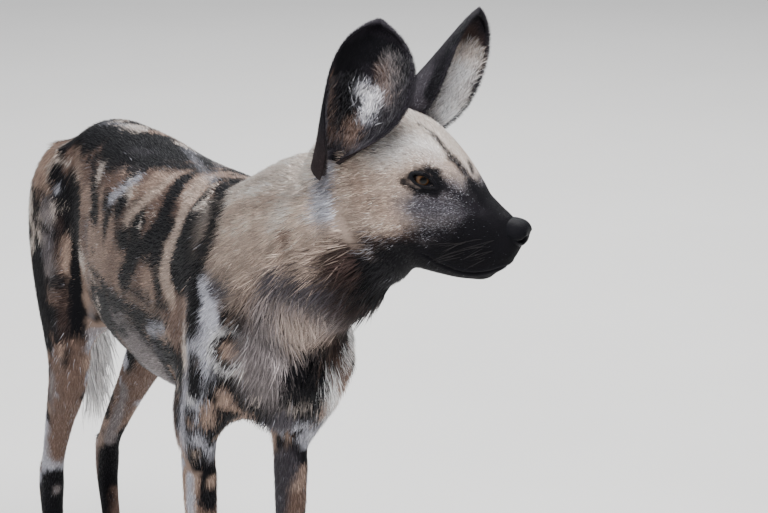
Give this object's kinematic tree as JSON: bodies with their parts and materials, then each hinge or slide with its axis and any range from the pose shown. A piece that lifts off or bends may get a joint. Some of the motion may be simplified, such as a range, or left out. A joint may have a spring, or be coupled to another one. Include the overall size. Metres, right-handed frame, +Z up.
{
  "type": "african wild dog model",
  "caption": "Life-size still model of an african wild dog, standing with its head turned to its left, with large round ears and a bushy tail hanging.",
  "frame": {"origin": "on the ground, under the middle of the dog's bounding box", "axes": "+Z up; the dog faces -Y and its left side is +X"},
  "size_m": [0.2946, 0.9922, 0.8943],
  "materials": {
    "face_coat": "short fur, black on the muzzle and tan on the cheeks",
    "neck_coat": "tan fur, dark on the throat",
    "body_coat": "short fur blotched black, tan and white",
    "leg_coat": "short fur blotched tan, black and white",
    "paw_coat": "short dark fur, black claws and pads",
    "ear_coat": "short black fur, pale hair inside",
    "tail_brush": "long white fur over a tan and black root",
    "eye": "wet-looking amber-brown eye"
  },
  "bodies": {
    "root": {"head": "face_coat", "neck": "neck_coat", "torso": "body_coat", "tail": "tail_brush", "foreleg_right": "leg_coat", "foreleg_left": "leg_coat", "hind_leg_right": "leg_coat", "hind_leg_left": "leg_coat", "fore_paw_right": "paw_coat", "fore_paw_left": "paw_coat", "hind_paw_right": "paw_coat", "hind_paw_left": "paw_coat", "ear_right": "ear_coat", "ear_left": "ear_coat", "eye_right": "eye", "eye_left": "eye"}
  },
  "joints": []
}
